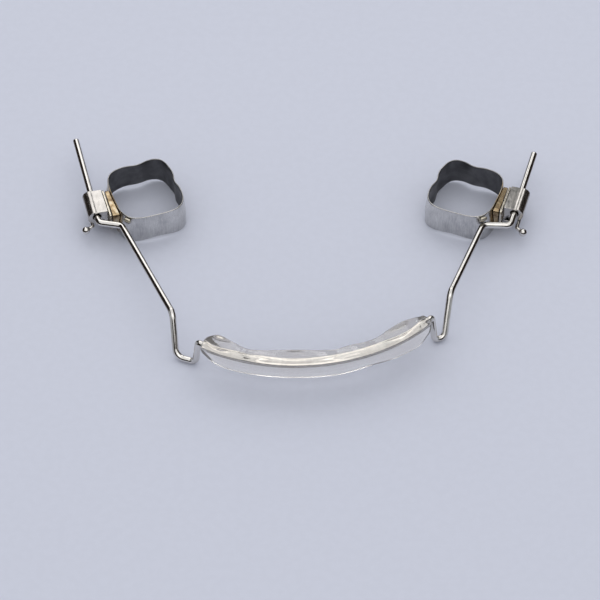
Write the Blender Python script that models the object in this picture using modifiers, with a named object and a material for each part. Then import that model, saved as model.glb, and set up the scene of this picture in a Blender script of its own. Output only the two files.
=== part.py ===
# Lip bumper for a lower arch: a bent steel bow with a clear lip shield, its ends in tubes on two molar bands
# Frame: +X to the side where the arm is shorter, +Y back towards the molars, +Z up; origin under the middle
import math

import bmesh
import bpy
from mathutils import Matrix, Vector

MM = 0.001
NAME = "lip_bumper"

# Clearances between pieces that are embedded, brazed or welded on the real appliance
SEAT_GAP = 0.05 * MM

# Round steel wire of the bow
WIRE_DIAMETER = 0.9 * MM
WIRE_BEVEL_RESOLUTION = 4
BEND_STEP = math.radians(15)

# Front bow: a plain arc, turned a little in the arch
BOW_RADIUS = 24.0 * MM
BOW_HEIGHT = 4.4 * MM
BOW_HALF_ANGLE = math.radians(40.2)
BOW_TURN = math.radians(8.4)
BOW_STEPS = 30
BOW_END_BEND = 0.8 * MM

# Heights of the arms' bend points above the bench; the loops' feet stand on it
SHOULDER_HEIGHT = 5.0 * MM
TUBE_HEIGHT = 3.1 * MM

# Each arm runs from the bow's end: three steps outward and back, the long arm, then the offset to the tube
LEFT_FRONT_FOOT_STEP = (0.44 * MM, 0.25 * MM)
LEFT_REAR_FOOT_STEP = (2.60 * MM, 0.90 * MM)
LEFT_SHOULDER_STEP = (0.45 * MM, 3.70 * MM)
LEFT_ARM_LENGTH = 19.7 * MM
LEFT_ARM_SPLAY = math.radians(22.3)
LEFT_OFFSET_STEP = (3.15 * MM, 0.60 * MM)
LEFT_TOE_OUT = math.radians(13.4)
LEFT_STUB_LENGTH = 1.1 * MM
LEFT_FREE_END = 11.3 * MM
LEFT_BAND_LENGTH = 10.7 * MM
LEFT_BAND_SETBACK = 2.35 * MM
LEFT_HOOK_REACH = 0.27 * MM
LEFT_HOOK_BALL_OUT = 1.06 * MM

RIGHT_FRONT_FOOT_STEP = (0.50 * MM, -0.30 * MM)
RIGHT_REAR_FOOT_STEP = (1.30 * MM, 0.45 * MM)
RIGHT_SHOULDER_STEP = (0.80 * MM, 3.90 * MM)
RIGHT_ARM_LENGTH = 15.5 * MM
RIGHT_ARM_SPLAY = math.radians(18.8)
RIGHT_OFFSET_STEP = (3.70 * MM, -0.15 * MM)
RIGHT_TOE_OUT = math.radians(15.5)
RIGHT_STUB_LENGTH = 2.4 * MM
RIGHT_FREE_END = 8.0 * MM
RIGHT_BAND_LENGTH = 10.0 * MM
RIGHT_BAND_SETBACK = 1.45 * MM
RIGHT_HOOK_REACH = 1.32 * MM
RIGHT_HOOK_BALL_OUT = 0.99 * MM

FRONT_FOOT_BEND = 0.9 * MM
REAR_FOOT_BEND = 1.5 * MM
SHOULDER_BEND = 1.6 * MM
INNER_OFFSET_BEND = 0.9 * MM
OUTER_OFFSET_BEND = 0.8 * MM

# Clear acrylic shield moulded round the bow
# Rises above and drops below the wire's axis, at even places from the middle of the bow to each end
LEFT_SHIELD_RISES = (
    1.6 * MM, 1.9 * MM, 2.0 * MM, 1.75 * MM, 1.4 * MM,
    1.25 * MM, 2.05 * MM, 2.55 * MM, 0.95 * MM,
)
LEFT_SHIELD_DROPS = (
    2.45 * MM, 2.4 * MM, 2.4 * MM, 2.4 * MM, 2.45 * MM,
    2.5 * MM, 2.5 * MM, 2.15 * MM, 0.75 * MM,
)
RIGHT_SHIELD_RISES = (
    1.6 * MM, 1.4 * MM, 1.55 * MM, 1.45 * MM, 1.5 * MM,
    2.3 * MM, 2.4 * MM, 1.6 * MM, 0.75 * MM,
)
RIGHT_SHIELD_DROPS = (
    2.45 * MM, 2.55 * MM, 2.45 * MM, 2.3 * MM, 2.5 * MM,
    2.8 * MM, 2.95 * MM, 2.95 * MM, 1.6 * MM,
)
SHIELD_THICKNESS = 2.0 * MM
SHIELD_TIP_THICKNESS = 1.5 * MM
SHIELD_TIP_START = 0.84
SHIELD_LEAST_WALL = 0.2 * MM
SHIELD_END_GAP = 0.65 * MM
SHIELD_ROUNDNESS = 3.4
SHIELD_STATIONS = 44
SHIELD_SECTION_POINTS = 20

# Molar bands: thin steel rings with a molar's rounded outline
BAND_WIDTH = 9.4 * MM
BAND_HEIGHT = 4.4 * MM
BAND_WALL = 0.18 * MM
BAND_FLARE = 0.25 * MM
BAND_BULGE = 0.12 * MM
BAND_EDGE_LAND = 0.25 * MM
BAND_SCALLOP = 0.55 * MM
BAND_CUSP_DIP = 0.22 * MM
BAND_SQUARENESS = 3.6
BAND_LINGUAL_GROOVE = 0.26 * MM
BAND_DISTAL_GROOVE = 0.22 * MM
BAND_DISTAL_LOBE = 0.42 * MM
BAND_POINTS = 64
BAND_LEVELS = 7

# Weld flange: a flat pad spot welded to the band's cheek side, which stands at a small angle to it
FLANGE_LENGTH = 5.45 * MM
FLANGE_OVERHANG = 1.15 * MM
FLANGE_THICKNESS = 0.7 * MM
BAND_LEAN = math.radians(4)
FLANGE_RISE = 0.95 * MM
FLANGE_DROP = 1.9 * MM
FLANGE_CORNER = 0.5 * MM

# Double tube: a round bore for the bow and a small rectangular slot for an archwire
TUBE_LENGTH = 4.4 * MM
TUBE_WALL = 0.4 * MM
TUBE_FLANK_OUT = 0.25 * MM
TUBE_FLANK_DROP = 0.15 * MM
BORE_CLEARANCE = 0.15 * MM
TUBE_STANDOFF = 1.55 * MM
TUBE_OFFSET_ANGLE = math.radians(2)
SLOT_WIDTH = 0.71 * MM
SLOT_HEIGHT = 0.56 * MM
SLOT_INSET = 0.88 * MM
SLOT_DROP = 1.3 * MM
SLOT_FLOOR = 0.28 * MM
TUBE_FLAT_RISE = 0.8 * MM
TUBE_EDGE = 0.05 * MM
TUBE_SECTION_POINTS = 24

# Ball hook brazed under the round tube
HOOK_WIRE = 0.55 * MM
HOOK_SEAT_ANGLE = math.radians(20)
HOOK_START = 3.2 * MM
HOOK_BALL_AHEAD = 0.45 * MM
HOOK_BALL_DROP = 0.1 * MM
HOOK_BALL = 1.1 * MM
HOOK_BEND = 0.4 * MM

# Seating lug at the band's front cheek corner
LUG_WIDTH = 1.1 * MM
LUG_HEIGHT = 0.6 * MM
LUG_DEPTH = 0.45 * MM
LUG_BELOW_EDGE = 0.1 * MM
LUG_PLACE = math.radians(222)

WIRE_RADIUS = WIRE_DIAMETER / 2
BORE_RADIUS = WIRE_RADIUS + BORE_CLEARANCE
TUBE_RADIUS = BORE_RADIUS + TUBE_WALL

SIDES = {
    "left": dict(
        outward=-1,
        loop_steps=(LEFT_FRONT_FOOT_STEP, LEFT_REAR_FOOT_STEP, LEFT_SHOULDER_STEP),
        arm_length=LEFT_ARM_LENGTH,
        arm_splay=LEFT_ARM_SPLAY,
        offset_step=LEFT_OFFSET_STEP,
        toe_out=LEFT_TOE_OUT,
        stub=LEFT_STUB_LENGTH,
        free_end=LEFT_FREE_END,
        band_length=LEFT_BAND_LENGTH,
        setback=LEFT_BAND_SETBACK,
        hook_reach=LEFT_HOOK_REACH,
        ball_out=LEFT_HOOK_BALL_OUT,
    ),
    "right": dict(
        outward=1,
        loop_steps=(RIGHT_FRONT_FOOT_STEP, RIGHT_REAR_FOOT_STEP, RIGHT_SHOULDER_STEP),
        arm_length=RIGHT_ARM_LENGTH,
        arm_splay=RIGHT_ARM_SPLAY,
        offset_step=RIGHT_OFFSET_STEP,
        toe_out=RIGHT_TOE_OUT,
        stub=RIGHT_STUB_LENGTH,
        free_end=RIGHT_FREE_END,
        band_length=RIGHT_BAND_LENGTH,
        setback=RIGHT_BAND_SETBACK,
        hook_reach=RIGHT_HOOK_REACH,
        ball_out=RIGHT_HOOK_BALL_OUT,
    ),
}

COLOURS = {
    "steel": ((0.66, 0.65, 0.63, 1), 0.18, 1.0),
    "band_steel": ((0.60, 0.60, 0.60, 1), 0.28, 1.0),
    "tinted_steel": ((0.55, 0.47, 0.33, 1), 0.30, 1.0),
    "acrylic": ((0.86, 0.84, 0.80, 1), 0.08, 0.0),
}


def clear_scene():
    for existing in list(bpy.data.objects):
        bpy.data.objects.remove(existing, do_unlink=True)


def new_collection(name):
    collection = bpy.data.collections.new(name)
    bpy.context.scene.collection.children.link(collection)
    return collection


def new_material(node_name, kind):
    colour, roughness, metallic = COLOURS[kind]
    material = bpy.data.materials.new(node_name + "_" + kind)
    material.use_nodes = True
    shader = material.node_tree.nodes["Principled BSDF"]
    shader.inputs["Base Color"].default_value = colour
    shader.inputs["Roughness"].default_value = roughness
    shader.inputs["Metallic"].default_value = metallic
    if kind == "acrylic":
        shader.inputs["Transmission Weight"].default_value = 0.9
        shader.inputs["IOR"].default_value = 1.49
    material.diffuse_color = colour
    return material


def add_object(name, data, collection, parent, kind=None):
    thing = bpy.data.objects.new(name, data)
    collection.objects.link(thing)
    thing.parent = parent
    if kind:
        data.materials.append(new_material(name, kind))
    return thing


def add_empty(name, collection, parent=None, location=(0, 0, 0), turn=0.0):
    empty = bpy.data.objects.new(name, None)
    empty.empty_display_size = 2 * MM
    collection.objects.link(empty)
    empty.parent = parent
    empty.location = location
    empty.rotation_euler = (0, 0, turn)
    return empty


def mark_cutter(cutter):
    cutter.hide_render = True
    cutter.display_type = "WIRE"


def cut_with(target, cutter):
    cut = target.modifiers.new("cut", "BOOLEAN")
    cut.operation = "DIFFERENCE"
    cut.solver = "EXACT"
    cut.object = cutter


def mesh_from_bmesh(name, work, smooth_angle=40):
    bmesh.ops.recalc_face_normals(work, faces=work.faces)
    mesh = bpy.data.meshes.new(name)
    work.to_mesh(mesh)
    work.free()
    mesh.shade_smooth()
    mesh.set_sharp_from_angle(angle=math.radians(smooth_angle))
    return mesh


def curve_to_mesh_object(curve_object, collection, kind=None):
    # A curve takes no Boolean, so it becomes a welded mesh in the same place
    bpy.context.view_layer.update()
    depsgraph = bpy.context.evaluated_depsgraph_get()
    mesh = bpy.data.meshes.new_from_object(curve_object.evaluated_get(depsgraph))
    work = bmesh.new()
    work.from_mesh(mesh)
    bmesh.ops.remove_doubles(work, verts=work.verts, dist=0.001 * MM)
    bpy.data.meshes.remove(mesh)
    name = curve_object.name
    parent = curve_object.parent
    place = curve_object.matrix_world.copy()
    bpy.data.objects.remove(curve_object, do_unlink=True)
    thing = add_object(name, mesh_from_bmesh(name, work), collection, parent, kind)
    thing.matrix_world = place
    return thing


def round_bends(points, radii):
    # Replaces each bend point by an arc of its radius, no longer than its two runs allow
    path = [points[0]]
    for index in range(1, len(points) - 1):
        here = points[index]
        before = points[index - 1] - here
        after = points[index + 1] - here
        turn = math.pi - before.angle(after)
        if radii[index] == 0 or turn < BEND_STEP / 2:
            path.append(here)
            continue
        room_before = before.length * (0.48 if radii[index - 1] else 0.92)
        room_after = after.length * (0.48 if radii[index + 1] else 0.92)
        tangent = min(radii[index] * math.tan(turn / 2), room_before, room_after)
        radius = tangent / math.tan(turn / 2)
        start = here + before.normalized() * tangent
        middle = (before.normalized() + after.normalized()).normalized()
        centre = here + middle * (radius / math.cos(turn / 2))
        spoke = start - centre
        axis = before.cross(after).normalized()
        steps = max(2, math.ceil(turn / BEND_STEP))
        for step in range(steps + 1):
            path.append(centre + Matrix.Rotation(-turn * step / steps, 3, axis) @ spoke)
    path.append(points[-1])
    return path


def bow_point(angle):
    turned = angle + BOW_TURN
    return Vector((BOW_RADIUS * math.sin(turned), -BOW_RADIUS * math.cos(turned), BOW_HEIGHT))


def tube_direction(side):
    return Vector((side["outward"] * math.sin(side["toe_out"]), math.cos(side["toe_out"]), 0))


def arm_bends(side):
    # The bend points of one arm, from the bow's end to the free end behind the tube
    heights = (WIRE_RADIUS, WIRE_RADIUS, SHOULDER_HEIGHT, TUBE_HEIGHT, TUBE_HEIGHT)
    arm_out = side["arm_length"] * math.sin(side["arm_splay"])
    arm_back = side["arm_length"] * math.cos(side["arm_splay"])
    steps = side["loop_steps"] + ((arm_out, arm_back), side["offset_step"])
    here = bow_point(side["outward"] * BOW_HALF_ANGLE)
    points = [here]
    for (out, back), height in zip(steps, heights):
        here = Vector((here.x + side["outward"] * out, here.y + back, height))
        points.append(here)
    run = side["stub"] + TUBE_LENGTH + side["free_end"]
    points.append(here + tube_direction(side) * run)
    radii = [
        BOW_END_BEND,
        FRONT_FOOT_BEND,
        REAR_FOOT_BEND,
        SHOULDER_BEND,
        INNER_OFFSET_BEND,
        OUTER_OFFSET_BEND,
        0,
    ]
    return points, radii


def tube_mouth(side):
    points, _ = arm_bends(side)
    return points[-2] + tube_direction(side) * side["stub"]


def wire_path():
    left_points, left_radii = arm_bends(SIDES["left"])
    right_points, right_radii = arm_bends(SIDES["right"])
    inner = [
        bow_point(BOW_HALF_ANGLE * (2 * step / BOW_STEPS - 1))
        for step in range(1, BOW_STEPS)
    ]
    points = left_points[::-1] + inner + right_points
    radii = left_radii[::-1] + [0] * len(inner) + right_radii
    return round_bends(points, radii)


def tube_curve(name, path, radius):
    curve = bpy.data.curves.new(name, "CURVE")
    curve.dimensions = "3D"
    curve.bevel_depth = radius
    curve.bevel_resolution = WIRE_BEVEL_RESOLUTION
    curve.use_fill_caps = True
    spline = curve.splines.new("POLY")
    spline.points.add(len(path) - 1)
    for point, place in zip(spline.points, path):
        point.co = (place.x, place.y, place.z, 1)
    return curve


def make_bow(collection, root):
    curve = tube_curve("labial_bow_wire", wire_path(), WIRE_RADIUS)
    return add_object("labial_bow_wire", curve, collection, root, "steel")


def smooth_value(values, share):
    # A smooth curve through values given at even places
    place = share * (len(values) - 1)
    index = min(int(place), len(values) - 2)
    before, start, end, after = (values[min(abs(index + step), len(values) - 1)] for step in (-1, 0, 1, 2))
    part = place - index
    bend = 2 * before - 5 * start + 4 * end - after + part * (3 * (start - end) + after - before)
    return start + part * (end - before + part * bend) / 2


def shield_size(place):
    # Rise, drop and half thickness at a share of the half length, below zero on the left
    share = abs(place)
    rises = LEFT_SHIELD_RISES if place < 0 else RIGHT_SHIELD_RISES
    drops = LEFT_SHIELD_DROPS if place < 0 else RIGHT_SHIELD_DROPS
    least = WIRE_RADIUS + SEAT_GAP + SHIELD_LEAST_WALL
    rise = max(least, smooth_value(rises, share))
    drop = max(least, smooth_value(drops, share))
    tip = max(0.0, share - SHIELD_TIP_START) / (1 - SHIELD_TIP_START)
    fall = 1 - math.sqrt(1 - tip * tip)
    thickness = SHIELD_THICKNESS + (SHIELD_TIP_THICKNESS - SHIELD_THICKNESS) * fall
    return rise, drop, thickness / 2


def signed_power(value, power):
    return math.copysign(abs(value) ** power, value)


def shield_section(place):
    half_angle = BOW_HALF_ANGLE - SHIELD_END_GAP / BOW_RADIUS
    middle = bow_point(half_angle * place)
    outward = Vector((middle.x, middle.y, 0)).normalized()
    rise, drop, half = shield_size(place)
    ring = []
    for index in range(SHIELD_SECTION_POINTS):
        angle = 2 * math.pi * (index + 0.5) / SHIELD_SECTION_POINTS
        across = half * signed_power(math.cos(angle), 2 / SHIELD_ROUNDNESS)
        height = signed_power(math.sin(angle), 2 / SHIELD_ROUNDNESS)
        height *= rise if height > 0 else drop
        ring.append(middle + outward * across + Vector((0, 0, height)))
    return ring


def loft(name, rings, closed_ends):
    work = bmesh.new()
    rows = [[work.verts.new(point) for point in ring] for ring in rings]
    count = len(rows[0])
    for lower, upper in zip(rows, rows[1:]):
        for index in range(count):
            after = (index + 1) % count
            work.faces.new((lower[index], lower[after], upper[after], upper[index]))
    if closed_ends:
        work.faces.new(rows[0][::-1])
        work.faces.new(rows[-1])
    return mesh_from_bmesh(name, work)


def make_shield(collection, cutters, root):
    # Stations crowd together towards both ends, where the outline turns fastest
    places = [
        math.sin(math.pi / 2 * (2 * step / SHIELD_STATIONS - 1))
        for step in range(SHIELD_STATIONS + 1)
    ]
    mesh = loft("lip_shield", [shield_section(place) for place in places], True)
    shield = add_object("lip_shield", mesh, collection, root, "acrylic")
    curve = tube_curve("wire_channel", wire_path(), WIRE_RADIUS + SEAT_GAP)
    channel = curve_to_mesh_object(add_object("wire_channel", curve, cutters, root), cutters)
    mark_cutter(channel)
    cut_with(shield, channel)
    return shield


def ease(share):
    return share * share * (3 - 2 * share)


def dent(angle, place, width):
    # A smooth dip of depth one at the place, fading out over the width
    away = abs((angle - place + math.pi) % (2 * math.pi) - math.pi)
    return ease(1 - away / width) if away < width else 0.0


def band_radius(angle, length):
    # Angle 0 points to the tongue side and 90 degrees to the back of the tooth
    reach_x = abs(math.cos(angle)) / (BAND_WIDTH / 2)
    reach_y = abs(math.sin(angle)) / (length / 2)
    plain = (reach_x ** BAND_SQUARENESS + reach_y ** BAND_SQUARENESS) ** (-1 / BAND_SQUARENESS)
    plain -= BAND_LINGUAL_GROOVE * dent(angle, math.radians(6), math.radians(20))
    plain -= BAND_DISTAL_GROOVE * dent(angle, math.radians(88), math.radians(20))
    plain += BAND_DISTAL_LOBE * dent(angle, math.radians(58), math.radians(24))
    return plain


def band_swell(share):
    # Extra reach of the wall by height: flared below, a slight bulge, upright at both edges
    land = BAND_EDGE_LAND / BAND_HEIGHT
    inner = min(max((share - land) / (1 - 2 * land), 0.0), 1.0)
    return BAND_FLARE * (1 - ease(inner)) + BAND_BULGE * math.sin(math.pi * inner) ** 2


def band_ring(share, length):
    # One level of the ring; the lower edge rises between the teeth and the upper edge dips at the grooves
    ring = []
    for index in range(BAND_POINTS):
        angle = 2 * math.pi * index / BAND_POINTS
        reach = band_radius(angle, length) + band_swell(share)
        between = dent(angle, math.pi / 2, math.radians(55)) + dent(angle, -math.pi / 2, math.radians(55))
        groove = dent(angle, 0, math.radians(40)) + dent(angle, math.pi, math.radians(40))
        bottom = BAND_SCALLOP * between
        top = BAND_HEIGHT - BAND_CUSP_DIP * groove
        height = bottom + (top - bottom) * share
        ring.append(Vector((reach * math.cos(angle), reach * math.sin(angle), height)))
    return ring


def band_rings(length):
    land = BAND_EDGE_LAND / BAND_HEIGHT
    inner = [land + (1 - 2 * land) * step / (BAND_LEVELS - 3) for step in range(BAND_LEVELS - 2)]
    return [band_ring(share, length) for share in [0.0] + inner + [1.0]]


def band_cheek_reach(length):
    # How far the band, turned by its lean, reaches towards the flange
    turned = Matrix.Rotation(BAND_LEAN, 3, "Z")
    return max(-(turned @ point).x for ring in band_rings(length) for point in ring)


def make_band(name, inward, length, collection, parent):
    rings = [[Vector((inward * p.x, p.y, p.z)) for p in ring] for ring in band_rings(length)]
    band = add_object(name, loft(name, rings, False), collection, parent, "band_steel")
    wall = band.modifiers.new("wall", "SOLIDIFY")
    wall.thickness = BAND_WALL
    wall.offset = -1
    wall.use_even_offset = True
    return band


def arc_points(centre, radius, start, end, steps):
    return [
        (
            centre[0] + radius * math.cos(start + (end - start) * step / steps),
            centre[1] + radius * math.sin(start + (end - start) * step / steps),
        )
        for step in range(steps + 1)
    ]


def outline_curve(name, outlines, thickness):
    curve = bpy.data.curves.new(name, "CURVE")
    curve.dimensions = "2D"
    curve.fill_mode = "BOTH"
    curve.extrude = thickness / 2
    for outline in outlines:
        spline = curve.splines.new("POLY")
        spline.points.add(len(outline) - 1)
        spline.use_cyclic_u = True
        for point, (across, up) in zip(spline.points, outline):
            point.co = (across, up, 0, 1)
    return curve


def flange_outline():
    # Across runs from the front end to the back end, up from the lower edge to the upper edge
    front, back = FLANGE_CORNER, FLANGE_LENGTH - FLANGE_CORNER
    low, high = FLANGE_CORNER - FLANGE_DROP, FLANGE_RISE - FLANGE_CORNER
    quarter = math.pi / 2
    outline = []
    for turn, centre in enumerate(((back, low), (back, high), (front, high), (front, low))):
        outline += arc_points(centre, FLANGE_CORNER, (turn - 1) * quarter, turn * quarter, 5)
    return outline


def make_flange(name, inward, collection, parent):
    curve = outline_curve(name, [flange_outline()], FLANGE_THICKNESS)
    flange = add_object(name, curve, collection, parent)
    flange.location = (inward * FLANGE_THICKNESS / 2, -FLANGE_OVERHANG, 0)
    flange.rotation_euler = (math.pi / 2, 0, math.pi / 2)
    return curve_to_mesh_object(flange, collection, "tinted_steel")


def tube_profile():
    # A round flank round the bore on the cheek side, a flat top, and the slot body against the flange
    body_side = TUBE_STANDOFF + SLOT_INSET
    body_bottom = -SLOT_DROP - SLOT_HEIGHT / 2 - SLOT_FLOOR
    body_start = SLOT_INSET - SLOT_WIDTH / 2 - SLOT_FLOOR
    lean = math.asin(min(0.95, (body_start + TUBE_FLANK_OUT) / TUBE_RADIUS))
    crest = math.asin(min(0.95, (TUBE_FLAT_RISE + TUBE_FLANK_DROP) / TUBE_RADIUS))
    flank = (-TUBE_FLANK_OUT, -TUBE_FLANK_DROP)
    outline = arc_points(flank, TUBE_RADIUS, crest, 3 * math.pi / 2 + lean, TUBE_SECTION_POINTS)
    outline += [
        (body_start, body_bottom),
        (body_side, body_bottom),
        (body_side, TUBE_FLAT_RISE),
    ]
    bore = arc_points((0, 0), BORE_RADIUS, 0, 2 * math.pi, TUBE_SECTION_POINTS)[:-1]
    slot = [
        (SLOT_INSET - SLOT_WIDTH / 2, -SLOT_DROP - SLOT_HEIGHT / 2),
        (SLOT_INSET + SLOT_WIDTH / 2, -SLOT_DROP - SLOT_HEIGHT / 2),
        (SLOT_INSET + SLOT_WIDTH / 2, -SLOT_DROP + SLOT_HEIGHT / 2),
        (SLOT_INSET - SLOT_WIDTH / 2, -SLOT_DROP + SLOT_HEIGHT / 2),
    ]
    return outline, bore, slot


def make_tube(name, inward, collection, cutters, unit, base):
    outlines = [[(inward * a, b) for a, b in outline] for outline in tube_profile()]
    tube = add_object(name, outline_curve(name, outlines, TUBE_LENGTH), collection, unit)
    tube.location = (0, TUBE_LENGTH / 2, 0)
    tube.rotation_euler = (math.pi / 2, 0, 0)
    tube = curve_to_mesh_object(tube, collection, "steel")
    work = bmesh.new()
    bmesh.ops.create_cube(work, size=4 * TUBE_LENGTH)
    cutter = add_object(name + "_base_cut", mesh_from_bmesh(name + "_base_cut", work), cutters, base)
    cutter.location = (inward * (2 * TUBE_LENGTH - SEAT_GAP), 0, 0)
    mark_cutter(cutter)
    cut_with(tube, cutter)
    edges = tube.modifiers.new("edges", "BEVEL")
    edges.width = TUBE_EDGE
    edges.segments = 1
    edges.limit_method = "ANGLE"
    edges.angle_limit = math.radians(50)
    return tube


def make_hook(name, inward, side, collection, cutters, unit):
    seat = TUBE_RADIUS + SEAT_GAP + HOOK_WIRE / 2
    across = -inward * (TUBE_FLANK_OUT + seat * math.sin(HOOK_SEAT_ANGLE))
    height = -TUBE_FLANK_DROP - seat * math.cos(HOOK_SEAT_ANGLE)
    corner = Vector((across, -side["hook_reach"], height))
    ball_place = corner + Vector((-inward * side["ball_out"], -HOOK_BALL_AHEAD, -HOOK_BALL_DROP))
    points = [Vector((across, HOOK_START, height)), corner, ball_place]
    curve = tube_curve(name, round_bends(points, [0, HOOK_BEND, 0]), HOOK_WIRE / 2)
    hook = curve_to_mesh_object(add_object(name, curve, collection, unit), collection, "steel")
    work = bmesh.new()
    bmesh.ops.create_uvsphere(work, u_segments=20, v_segments=12, radius=HOOK_BALL / 2)
    ball = add_object(name + "_ball", mesh_from_bmesh(name + "_ball", work), cutters, unit)
    ball.location = ball_place
    mark_cutter(ball)
    join = hook.modifiers.new("join_ball", "BOOLEAN")
    join.operation = "UNION"
    join.solver = "EXACT"
    join.object = ball
    return hook


def make_lug(name, inward, length, collection, parent):
    # Sits just outside the band's corner, under its upper edge
    top = BAND_HEIGHT - LUG_BELOW_EDGE
    shares = [(top - LUG_HEIGHT * step / 4) / BAND_HEIGHT for step in range(5)]
    out = Vector((math.cos(LUG_PLACE), math.sin(LUG_PLACE), 0))
    corner = max((p for share in shares for p in band_ring(share, length)), key=out.dot)
    centre = corner + out * (SEAT_GAP + LUG_DEPTH / 2)
    work = bmesh.new()
    bmesh.ops.create_cube(work, size=1)
    bmesh.ops.scale(work, vec=(LUG_DEPTH, LUG_WIDTH, LUG_HEIGHT), verts=work.verts)
    lug = add_object(name, mesh_from_bmesh(name, work), collection, parent, "steel")
    lug.location = (inward * centre.x, centre.y, top - LUG_HEIGHT / 2)
    lug.rotation_euler = (0, 0, LUG_PLACE if inward > 0 else math.pi - LUG_PLACE)
    rounding = lug.modifiers.new("rounding", "BEVEL")
    rounding.width = min(LUG_DEPTH, LUG_WIDTH, LUG_HEIGHT) * 0.4
    rounding.segments = 3
    return lug


def make_molar_unit(label, collection, cutters, root):
    side = SIDES[label]
    inward = -side["outward"]
    # The unit slides along its tube's axis, so its empty sits at the tube's mouth, turned along it
    unit = add_empty("molar_unit_" + label, collection, root, tube_mouth(side), inward * side["toe_out"])
    base = add_empty("molar_base_" + label, collection, unit, turn=inward * TUBE_OFFSET_ANGLE)
    base.location = (inward * TUBE_STANDOFF, 0, 0)
    seat = add_empty("band_seat_" + label, collection, base)
    length = side["band_length"]
    to_centre = FLANGE_THICKNESS + SEAT_GAP + band_cheek_reach(length)
    seat.location = (inward * to_centre, side["setback"], -TUBE_HEIGHT)
    seat.rotation_euler = (0, 0, inward * BAND_LEAN)
    make_band("molar_band_" + label, inward, length, collection, seat)
    make_lug("seating_lug_" + label, inward, length, collection, seat)
    make_flange("weld_flange_" + label, inward, collection, base)
    make_tube("buccal_tube_" + label, inward, collection, cutters, unit, base)
    make_hook("ball_hook_" + label, inward, side, collection, cutters, unit)


def stand_on_origin(root, collection):
    # Moves everything so the origin is under the middle of the bounding box
    bpy.context.view_layer.update()
    depsgraph = bpy.context.evaluated_depsgraph_get()
    lowest = Vector((math.inf,) * 3)
    highest = Vector((-math.inf,) * 3)
    for thing in collection.objects:
        if thing.type == "EMPTY":
            continue
        evaluated = thing.evaluated_get(depsgraph)
        mesh = evaluated.to_mesh()
        for vertex in mesh.vertices:
            place = evaluated.matrix_world @ vertex.co
            lowest = Vector(map(min, lowest, place))
            highest = Vector(map(max, highest, place))
        evaluated.to_mesh_clear()
    root.location -= Vector(((lowest.x + highest.x) / 2, (lowest.y + highest.y) / 2, lowest.z))


def main():
    clear_scene()
    collection = new_collection(NAME)
    cutters = new_collection(NAME + "_cutters")
    root = add_empty(NAME + "_frame", collection)
    make_bow(collection, root)
    make_shield(collection, cutters, root)
    for label in SIDES:
        make_molar_unit(label, collection, cutters, root)
    stand_on_origin(root, collection)


main()
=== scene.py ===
# Looks of the lip bumper: a bent steel bow in a clear shield, with double tubes on two molar bands
from math import acos, asin, atan2, ceil, copysign, cos, hypot, pi, radians, sin, sqrt, tan

import bmesh
import bpy
from mathutils import Matrix, Vector, noise


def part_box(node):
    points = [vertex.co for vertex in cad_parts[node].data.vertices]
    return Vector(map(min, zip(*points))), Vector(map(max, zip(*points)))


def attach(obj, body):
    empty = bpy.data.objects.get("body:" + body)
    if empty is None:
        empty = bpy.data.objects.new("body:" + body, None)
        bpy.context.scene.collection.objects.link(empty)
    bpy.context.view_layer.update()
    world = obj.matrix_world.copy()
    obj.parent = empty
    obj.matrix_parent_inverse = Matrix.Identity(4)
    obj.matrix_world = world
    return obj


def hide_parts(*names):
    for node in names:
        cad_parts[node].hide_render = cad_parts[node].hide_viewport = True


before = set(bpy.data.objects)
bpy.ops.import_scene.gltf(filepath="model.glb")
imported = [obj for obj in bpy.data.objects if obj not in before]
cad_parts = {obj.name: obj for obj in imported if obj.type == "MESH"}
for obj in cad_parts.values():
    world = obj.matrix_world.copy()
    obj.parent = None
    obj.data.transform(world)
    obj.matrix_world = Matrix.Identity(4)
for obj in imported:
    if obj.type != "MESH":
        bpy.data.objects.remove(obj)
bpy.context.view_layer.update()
mm = 0.001
fullTurn = 2 * pi
seatGap = 0.05 * mm  # between pieces that are brazed, welded or moulded together
mergeDistance = 0.0005 * mm  # points nearer than this become one

# The two sides, as the part has them; steps are outward and back from the bow's end
sides = {
    "left": {
        "outward": -1,
        "loopSteps": ((0.44 * mm, 0.25 * mm), (2.60 * mm, 0.90 * mm), (0.45 * mm, 3.70 * mm)),
        "armLength": 19.7 * mm,
        "armSplay": radians(22.3),
        "offsetStep": (3.15 * mm, 0.60 * mm),
        "toeOut": radians(13.4),
        "stub": 1.1 * mm,
        "freeEnd": 11.3 * mm,
        "bandLength": 10.7 * mm,
        "bandSetback": 2.35 * mm,
        "hookReach": 0.27 * mm,
        "ballOut": 1.06 * mm,
    },
    "right": {
        "outward": 1,
        "loopSteps": ((0.50 * mm, -0.30 * mm), (1.30 * mm, 0.45 * mm), (0.80 * mm, 3.90 * mm)),
        "armLength": 15.5 * mm,
        "armSplay": radians(18.8),
        "offsetStep": (3.70 * mm, -0.15 * mm),
        "toeOut": radians(15.5),
        "stub": 2.4 * mm,
        "freeEnd": 8.0 * mm,
        "bandLength": 10.0 * mm,
        "bandSetback": 1.45 * mm,
        "hookReach": 1.32 * mm,
        "ballOut": 0.99 * mm,
    },
}
for side in sides.values():
    side["inward"] = -side["outward"]


def feed(tree, node, inputs):
    # A socket is linked, and anything else is set on the input itself
    for key, value in inputs.items():
        if isinstance(value, bpy.types.NodeSocket):
            tree.links.new(value, node.inputs[key])
        else:
            node.inputs[key].default_value = value


def addNode(tree, kind, inputs=None, **settings):
    made = tree.nodes.new(kind)
    for key, value in settings.items():
        setattr(made, key, value)
    feed(tree, made, inputs or {})
    return made


def tidyNodes(tree):
    # Sets the nodes out in columns, so the tree reads from left to right
    depth = {}
    for _ in tree.nodes:
        for link in tree.links:
            depth[link.to_node] = max(depth.get(link.to_node, 0), depth.get(link.from_node, 0) + 1)
    rows = {}
    for item in tree.nodes:
        column = depth.get(item, 0)
        item.location = (column * 220, -260 * rows.get(column, 0))
        rows[column] = rows.get(column, 0) + 1


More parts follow.
